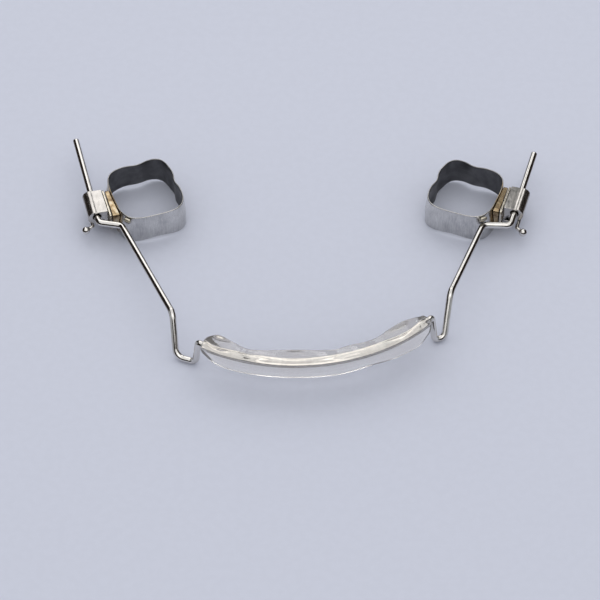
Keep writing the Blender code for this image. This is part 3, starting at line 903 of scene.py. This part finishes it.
def makeBand(label, seat, base):
    length = sides[label]["bandLength"]
    rows = [bandColumn(angle, length) for angle in bandAngles]
    mesh = skin("molarBand", rows, closedRows=True, smoothAngle=50)
    paintPoints(mesh, "inside", [insideShare(vertex.co, length) for vertex in mesh.vertices])
    placeMesh(mesh, seat @ mirrored(label))
    middle = base @ Vector((0, flange["length"] / 2 - flange["overhang"], -band["heatDrop"]))
    along = (base.to_3x3() @ Vector((0, 1, 0))).normalized()
    tints = []
    for vertex in mesh.vertices:
        away = vertex.co - middle
        ahead = away.dot(along)
        sideways = (away - along * ahead - Vector((0, 0, away.z))).length
        fades = [way / reach for way, reach in zip((ahead, away.z, sideways), band["heatReach"])]
        tints.append(clamp(band["heat"] - hypot(*fades)))
    paintPoints(mesh, "weldTint", tints)
    unitPiece("band", label, mesh, bandSteel, "molar_band")


def arcPoints(centre, radius, start, end, steps):
    turns = [start + (end - start) * share for share in shares(steps)]
    return [(centre[0] + radius * cos(turn), centre[1] + radius * sin(turn)) for turn in turns]


def plateMesh(name, outlines, thickness, edge):
    # A flat outline, given thickness and rounded edges without growing past either; later outlines are holes
    curve = bpy.data.curves.new(name, "CURVE")
    curve.dimensions = "2D"
    curve.fill_mode = "BOTH"
    curve.extrude = thickness / 2 - edge
    curve.bevel_depth = edge
    curve.bevel_resolution = 2
    curve.offset = -edge
    for outline in outlines:
        spline = curve.splines.new("POLY")
        spline.points.add(len(outline) - 1)
        spline.use_cyclic_u = True
        for point, (across, up) in zip(spline.points, outline):
            point.co = (across, up, 0, 1)
    mesh = evaluatedMesh(linkObject(name, curve))
    work = bmesh.new()
    work.from_mesh(mesh)
    bpy.data.meshes.remove(mesh)
    return meshFrom(name, work, smoothAngle=12)


def flangeOutline(inset):
    inset += flange["corner"]
    front, back = inset - flange["overhang"], flange["length"] - flange["overhang"] - inset
    low, high = inset - flange["drop"], flange["rise"] - inset
    quarter = pi / 2
    outline = []
    for turn, centre in enumerate(((back, low), (back, high), (front, high), (front, low))):
        start = (turn - 1) * quarter
        outline += arcPoints(centre, flange["corner"], start, start + quarter, flange["cornerSteps"])
    return outline


def wallAhead(toBase, along, up, length):
    # How far inward of the flange's outer plane the band's outer wall stands, at one place along and up
    before = None
    for angle in cheekAngles:
        bottom, top = bandEdges(angle)
        share = clamp((up + bow["tubeHeight"] - bottom) / (top - bottom))
        here = toBase @ bandPoint(angle, share, length)
        if before is not None and (before.y - along) * (here.y - along) <= 0:
            part = (along - before.y) / (here.y - before.y)
            return abs(before.x + (here.x - before.x) * part)
        before = here
    return flange["thickness"]


def padRows(label, base, seat):
    # Rings over the pad: its flat side, its edge, and the side that follows the band's wall
    side = sides[label]
    outline = flangeOutline(flange["padInset"])
    outer = flange["plate"] + flange["solderGap"]
    toBase = base.inverted() @ seat @ mirrored(label)
    middle = [sum(values) / len(outline) for values in zip(*outline)]
    rows = []
    for fitted, sizes in ((False, flange["flatRings"]), (True, flange["fittedRings"])):
        for share in sizes:
            edge = flange["edge"] if share == 1 else 0.0
            row = []
            for point in outline:
                along, up = (centre + (value - centre) * share for centre, value in zip(middle, point))
                depth = outer + edge
                if fitted:
                    wall = wallAhead(toBase, along, up, side["bandLength"]) - seatGap - edge
                    depth = max(wall, outer + 2 * flange["edge"])
                row.append(Vector((side["inward"] * depth, along, up)))
            rows.append(row)
    return rows


def makeFlange(label, base, seat):
    # A plate under the tube, then the pad that the weld has tinted, with a fine gap between the two
    upright = Matrix(((0, 0, 1, 0), (1, 0, 0, 0), (0, 1, 0, 0), (0, 0, 0, 1)))
    toMiddle = Matrix.Translation((sides[label]["inward"] * flange["plate"] / 2, 0, 0))
    plate = plateMesh("flangePlate", [flangeOutline(0)], flange["plate"], flange["edge"])
    placeMesh(plate, base @ toMiddle @ upright)
    pad = skin("tintedPad", padRows(label, base, seat), capEnds=True, smoothAngle=25)
    placeMesh(pad, base)
    paintPoints(plate, "weldTint", [flange["plateHeat"]] * len(plate.vertices))
    paintPoints(pad, "weldTint", [flange["padHeat"]] * len(pad.vertices))
    unitPiece("flange", label, plate, flangeSteel, "weld_flange")
    unitPiece("tinted_pad", label, pad, flangeSteel, None)


def makeTube(label, unit):
    slotLow = -tube["slotDrop"] - tube["slotHeight"] / 2
    slotNear = tube["slotInset"] - tube["slotWidth"] / 2
    slotHigh, slotFar = slotLow + tube["slotHeight"], slotNear + tube["slotWidth"]
    bodyBottom, bodyStart = slotLow - tube["slotFloor"], slotNear - tube["slotFloor"]
    bodySide = tube["standoff"] + tube["slotInset"]
    lean = asin(min(tube["steepest"], (bodyStart + tube["flankOut"]) / tubeRadius))
    crest = asin(min(tube["steepest"], (tube["flatRise"] + tube["flankDrop"]) / tubeRadius))
    flank = (-tube["flankOut"], -tube["flankDrop"])
    outline = arcPoints(flank, tubeRadius, crest, 3 * pi / 2 + lean, tube["roundPoints"])
    outline += [(bodyStart, bodyBottom), (bodySide, bodyBottom), (bodySide, tube["flatRise"])]
    bore = arcPoints((0, 0), boreRadius, 0, fullTurn, tube["roundPoints"])[:-1]
    slot = [(slotNear, slotLow), (slotFar, slotLow), (slotFar, slotHigh), (slotNear, slotHigh)]
    mesh = plateMesh("doubleTube", [outline, bore, slot], bow["tubeLength"], tube["edge"])
    placeMesh(mesh, Matrix(((1, 0, 0, 0), (0, 0, -1, bow["tubeLength"] / 2), (0, 1, 0, 0), (0, 0, 0, 1))))
    # The side next to the flange follows the flange, which stands at an angle to the tube
    angle = tube["offsetAngle"]
    for vertex in mesh.vertices:
        if vertex.co.x > (slotFar + bodySide) / 2:
            wallX = tube["standoff"] - seatGap * cos(angle)
            wallX -= tan(angle) * (vertex.co.y + seatGap * sin(angle))
            vertex.co.x += wallX - bodySide
    placeMesh(mesh, unit @ mirrored(label))
    unitPiece("tube", label, mesh, tubeSteel, "buccal_tube")


def underTube(reach):
    # Outward and up to a place under the round wall, at this reach from the wall's own centre
    angle = hook["seatAngle"]
    return tube["flankOut"] + reach * sin(angle), -tube["flankDrop"] - reach * cos(angle)


def hookPath(label):
    side = sides[label]
    outward = side["outward"]
    out, height = underTube(tubeRadius + seatGap + hook["wire"] / 2)
    corner = Vector((outward * out, -side["hookReach"], height))
    ball = corner + Vector((outward * side["ballOut"], -hook["ballAhead"], -hook["ballDrop"]))
    return [Vector((outward * out, hook["start"], height)), corner, ball]


def makeHook(label, unit):
    # One bar whose girth grows into the ball through a short filleted neck
    radius, ballRadius = hook["wire"] / 2, hook["ball"] / 2
    path = roundBends(hookPath(label), [0, hook["bend"], 0], hook["bendStep"])
    end = path[-1]
    direction = (end - path[-2]).normalized()
    bar = roundedEnd(path[0], path[1], radius, hook["endRounding"]) + full(path[1:-1])
    meet = acos(min(1.0, radius * (1 + hook["neckFlare"]) / ballRadius))
    neckStart, neckEnd = -ballRadius - hook["neck"], -ballRadius * sin(meet)
    for share in shares(hook["neckSteps"])[:-1]:
        place = end + direction * (neckStart + (neckEnd - neckStart) * share)
        bar.append((place, 1 + hook["neckFlare"] * share ** 2))
    for share in shares(hook["ballSteps"]):
        turn = (pi / 2 + meet) * share - meet
        girth = max(hook["leastGirth"], ballRadius * cos(turn) / radius)
        bar.append((end + direction * ballRadius * sin(turn), girth))
    mesh = sweptBar("hook", bar, radius, hook["sides"], wireSteel)
    placeMesh(mesh, unit)
    unitPiece("hook", label, mesh, None, "ball_hook")


def makeBraze(label, unit):
    # Silver solder run into the groove between the round tube and the hook
    side = sides[label]
    out, height = underTube(tubeRadius + seatGap / 2)
    length = hook["start"] - braze["start"] - braze["endGap"]
    bar = []
    for share in shares(braze["steps"]):
        place = Vector((side["outward"] * out, braze["start"] + share * length, height))
        lumps = noise.noise(Vector((share * braze["lumpScale"], side["inward"], 0)))
        girth = sqrt(max(0.0, 1 - (2 * share - 1) ** 4)) * (1 + braze["lumps"] * lumps)
        bar.append((place, max(braze["leastGirth"], girth)))
    mesh = sweptBar("braze", bar, braze["radius"], braze["sides"], solderSilver)
    placeMesh(mesh, unit)
    unitPiece("braze", label, mesh, None, None)


def makeLug(label, seat):
    # A small rounded bump brazed under the rim at the band's front cheek corner
    length = sides[label]["bandLength"]
    top = band["height"] - lug["belowEdge"]
    out = Vector((cos(lug["place"]), sin(lug["place"]), 0))
    levels = [(top - lug["height"] * share) / band["height"] for share in shares(lug["seatLevels"])]
    corner = max((bandPoint(angle, level, length) for level in levels for angle in bandAngles), key=out.dot)
    centre = corner + out * (seatGap + lug["depth"] / 2)
    centre.z = top - lug["height"] / 2
    turns = [fullTurn * share for share in shares(2 * lug["steps"])[:-1]]
    rows = []
    for share in shares(lug["steps"])[1:-1]:
        lift = pi * (share - 0.5)
        flat = cos(lift) ** lug["endPower"] / 2
        up = signedPower(sin(lift), lug["uprightPower"]) * lug["height"] / 2
        row = []
        for turn in turns:
            deep = signedPower(cos(turn), lug["roundPower"]) * lug["depth"] * flat
            wide = signedPower(sin(turn), lug["roundPower"]) * lug["width"] * flat
            row.append(Vector((deep, wide, up)))
        rows.append(row)
    mesh = skin("seatingLug", rows, capEnds=True, smoothAngle=60)
    placeMesh(mesh, Matrix.Translation(centre) @ Matrix.Rotation(lug["place"], 4, "Z"))
    placeMesh(mesh, seat @ mirrored(label))
    unitPiece("lug", label, mesh, solderSilver, "seating_lug")


def makeWeldSpots(label, base):
    # Spot welds where the flange shows in front of the tube and above its flat top
    places = [base @ Vector((0, along * mm, up * mm)) for along, up in weldSpots["places"]]
    facings = [base.to_3x3() @ Vector((sides[label]["outward"], 0, 0))] * len(places)
    mesh = domesAt("weldSpots", places, facings, weldSpots["domes"], flangeSteel)
    paintPoints(mesh, "weldTint", [weldSpots["heat"]] * len(mesh.vertices))
    unitPiece("weld_spots", label, mesh, None, None)


for label in sides:
    unit, base, seat = unitMatrices(label)
    makeBand(label, seat, base)
    makeFlange(label, base, seat)
    makeTube(label, unit)
    makeHook(label, unit)
    makeBraze(label, unit)
    makeLug(label, seat)
    makeWeldSpots(label, base)
    print(label, "molar unit made")


# Floor, light and camera
onePlate = [(0, 1, 2, 3)]  # the one face of a sheet with four corners
studio = {
    "floor": (0.60, 0.63, 0.74),
    "floorSize": 2.0,
    "grainScale": 900,
    "grainShade": 0.985,
    "background": (1.0, 1.0, 1.0),
    "skyStrength": 0.78,
    # Softboxes round the bench: bearing to the right of straight back, height angle, distance, sizes, watts
    "lamps": {
        "backLeftBox": {"bearing": -22, "height": 46, "away": 0.60, "size": (0.52, 0.44), "watts": 0.46},
        "backRightBox": {"bearing": 30, "height": 44, "away": 0.60, "size": (0.32, 0.40), "watts": 0.28},
        "frontBox": {"bearing": 172, "height": 64, "away": 0.60, "size": (0.36, 0.24), "watts": 0.24},
    },
    "lampColour": (1.0, 0.965, 0.92),
}


def makeFloor():
    mesh = bpy.data.meshes.new("floor")
    half = studio["floorSize"] / 2
    corners = ((-half, -half, 0), (half, -half, 0), (half, half, 0), (-half, half, 0))
    mesh.from_pydata(corners, [], onePlate)
    material, tree, shader = newMaterial("paleFloor")
    grain = noiseAt(tree, objectPlace(tree), studio["grainScale"])
    dark = tuple(value * studio["grainShade"] for value in studio["floor"])
    colour = ramp(tree, grain, ((0.4, dark), (0.6, studio["floor"])))
    feed(tree, shader, {"Base Color": colour, "Roughness": 0.9, "Specular IOR Level": 0.1})
    tidyNodes(tree)
    mesh.materials.append(material)
    floor = linkObject("floor", mesh)


def makeWorld():
    # Full strength where rays from the camera, reflections and glass see the sky, and less as light
    world = bpy.data.worlds.new("paleStudio")
    bpy.context.scene.world = world
    world.use_nodes = True
    tree = world.node_tree
    tree.nodes.clear()
    rays = addNode(tree, "ShaderNodeLightPath").outputs
    seen = mathNode(tree, "MAXIMUM", rays["Is Camera Ray"], rays["Is Glossy Ray"])
    seen = mathNode(tree, "MAXIMUM", seen, rays["Is Transmission Ray"])
    strength = mapRange(tree, seen, 0.0, 1.0, studio["skyStrength"], 1.0)
    sky = addNode(tree, "ShaderNodeBackground", {"Color": (*studio["background"], 1), "Strength": strength})
    addNode(tree, "ShaderNodeOutputWorld", {"Surface": sky.outputs["Background"]})
    tidyNodes(tree)


def lookAt(thing, target):
    thing.rotation_euler = (Vector(target) - thing.location).to_track_quat("-Z", "Y").to_euler()


def around(bearing, height, away):
    # A place seen from the bench: degrees to the right of straight back, degrees up, metres away
    turn, lift = radians(bearing), radians(height)
    return Vector((sin(turn) * cos(lift), cos(turn) * cos(lift), sin(lift))) * away


def makeLamps():
    for name, lamp in studio["lamps"].items():
        data = bpy.data.lights.new(name, "AREA")
        data.shape = "RECTANGLE"
        data.size, data.size_y = lamp["size"]
        data.energy = lamp["watts"]
        data.color = studio["lampColour"]
        made = linkObject(name, data)
        made.location = around(lamp["bearing"], lamp["height"], lamp["away"])
        lookAt(made, (0, 0, 0))


# Cards that only reflections and refractions see: they draw the dark and pale lines along the metal
cards = {
    "away": 0.5,
    # Edges of the upright cards, as bearings and heights in degrees
    "foot": -1,
    "wallTop": ((34, 36), (42, 52), (90, 52), (125, 32), (235, 32), (270, 52), (320, 52), (328, 36)),
    "lowTop": ((-34, 34), (-20, 25), (0, 12), (20, 25), (34, 34)),
    "gapFoot": 35,
    "gapTop": ((0, 53), (17, 53)),
    "edgeSteps": 8,
    "wallColour": (0.030, 0.024, 0.020),
    "lowColour": (0.17, 0.175, 0.19),
    "gapColour": (0.16, 0.17, 0.155),
    "benchColour": (0.050, 0.043, 0.038),
    "benchLift": 0.04 * mm,
    # The pale part of the bench, as corners in millimetres; its front follows the shield at a small distance
    "paleLeft": ((-40, 48), (-36, 22), (-35, 1), (-27, -7), (-25, -17), (-20, -23)),
    "paleRight": ((27, -18), (31, -9), (35, 1), (36, 22), (40, 48)),
    "frontGap": 3.3 * mm,
    "frontWidth": 5.5 * mm,
    "frontSteps": 24,
    "frontColour": (0.20, 0.21, 0.235),
    "archColour": (0.21, 0.21, 0.22),
    "arch": ((-9, 24), (-9, -8), (10, -8), (10, 24)),
    # Pale uprights beside the loops: ends in millimetres on the bench
    "loopSides": {"left": ((-23.5, -21), (-25.5, -11)), "right": ((25, -20), (27.5, -10))},
    "loopHeight": 9 * mm,
    "loopColour": (0.58, 0.60, 0.60),
}


def stageCard(name, points, faces, colour, inGlass):
    material, tree, shader = newMaterial(name)
    feed(tree, shader, {"Base Color": (*colour, 1), "Roughness": 1.0, "Specular IOR Level": 0.0})
    mesh = bpy.data.meshes.new(name)
    mesh.from_pydata(points, [], faces)
    mesh.materials.append(material)
    card = linkObject(name, mesh)
    for ray in ("camera", "diffuse", "shadow", "volume_scatter"):
        setattr(card, "visible_" + ray, False)
    card.visible_transmission = inGlass


def facesBetween(count, closed=False):
    # Faces between two lines of points, one line after the other in the same order
    pairs = [(index, (index + 1) % count) for index in range(count if closed else count - 1)]
    return [(here, after, count + after, count + here) for here, after in pairs]


def stripCard(name, low, top, colour, inGlass):
    # A curved upright card from one height up to an edge given as bearings and heights
    edge = []
    for start, end in zip(top, top[1:]):
        for share in shares(cards["edgeSteps"])[:-1]:
            edge.append([here + (there - here) * share for here, there in zip(start, end)])
    edge.append(top[-1])
    points = [around(bearing, low, cards["away"]) for bearing, height in edge]
    points += [around(bearing, height, cards["away"]) for bearing, height in edge]
    stageCard(name, points, facesBetween(len(edge)), colour, inGlass)


def onBench(corners):
    return [Vector((x * mm, y * mm, cards["benchLift"])) for x, y in corners]


def arcAhead(gap):
    # A line on the bench that follows the shield, at a distance in front of it
    reach = (bow["radius"] + shield["thickness"] / 2 + gap) / bow["radius"]
    points = []
    for share in shares(cards["frontSteps"]):
        point = bowCentre + bowPoint(bow["halfAngle"] * (2 * share - 1), Vector()) * reach
        points.append(Vector((point.x, point.y, cards["benchLift"])))
    return points


def makeCards():
    stripCard("wallCard", cards["foot"], cards["wallTop"], cards["wallColour"], True)
    stripCard("lowCard", cards["foot"], cards["lowTop"], cards["lowColour"], True)
    stripCard("gapCard", cards["gapFoot"], cards["gapTop"], cards["gapColour"], False)
    # The bench card is a wide sheet with a hole, joined to the hole's corners
    lift = Vector((0, 0, cards["benchLift"]))
    front = arcAhead(cards["frontGap"])
    inner = onBench(cards["paleLeft"]) + front + onBench(cards["paleRight"])
    outer = [Vector((point.x, point.y, 0)).normalized() * cards["away"] + lift for point in inner]
    stageCard("benchCard", inner + outer, facesBetween(len(inner), closed=True), cards["benchColour"], False)
    ahead = arcAhead(cards["frontGap"] + cards["frontWidth"])
    stageCard("frontCard", front + ahead, facesBetween(len(front)), cards["frontColour"], True)
    stageCard("archCard", onBench(cards["arch"]), onePlate, cards["archColour"], False)
    rise = Vector((0, 0, cards["loopHeight"]))
    for side, ends in cards["loopSides"].items():
        near, far = onBench(ends)
        corners = [near, far, far + rise, near + rise]
        stageCard(side + "LoopCard", corners, onePlate, cards["loopColour"], False)


camera = {
    "aim": (0.66 * mm, -10.8 * mm, 2.5 * mm),
    "distance": 426.7 * mm,
    "elevation": radians(46),
    "lens": 192,
    "sensor": 36,
    "nearest": 10 * mm,
}


def makeCamera():
    data = bpy.data.cameras.new("photoCamera")
    data.lens = camera["lens"]
    data.sensor_width = camera["sensor"]
    data.clip_start = camera["nearest"]
    made = linkObject("photoCamera", data)
    target = bowCentre + Vector(camera["aim"])
    reach, lift = camera["distance"], camera["elevation"]
    made.location = target + Vector((0, -reach * cos(lift), reach * sin(lift)))
    lookAt(made, target)
    bpy.context.scene.camera = made


makeFloor()
makeWorld()
makeLamps()
makeCards()
makeCamera()
bpy.context.scene.view_settings.view_transform = "Standard"
print("floor, light and camera made")
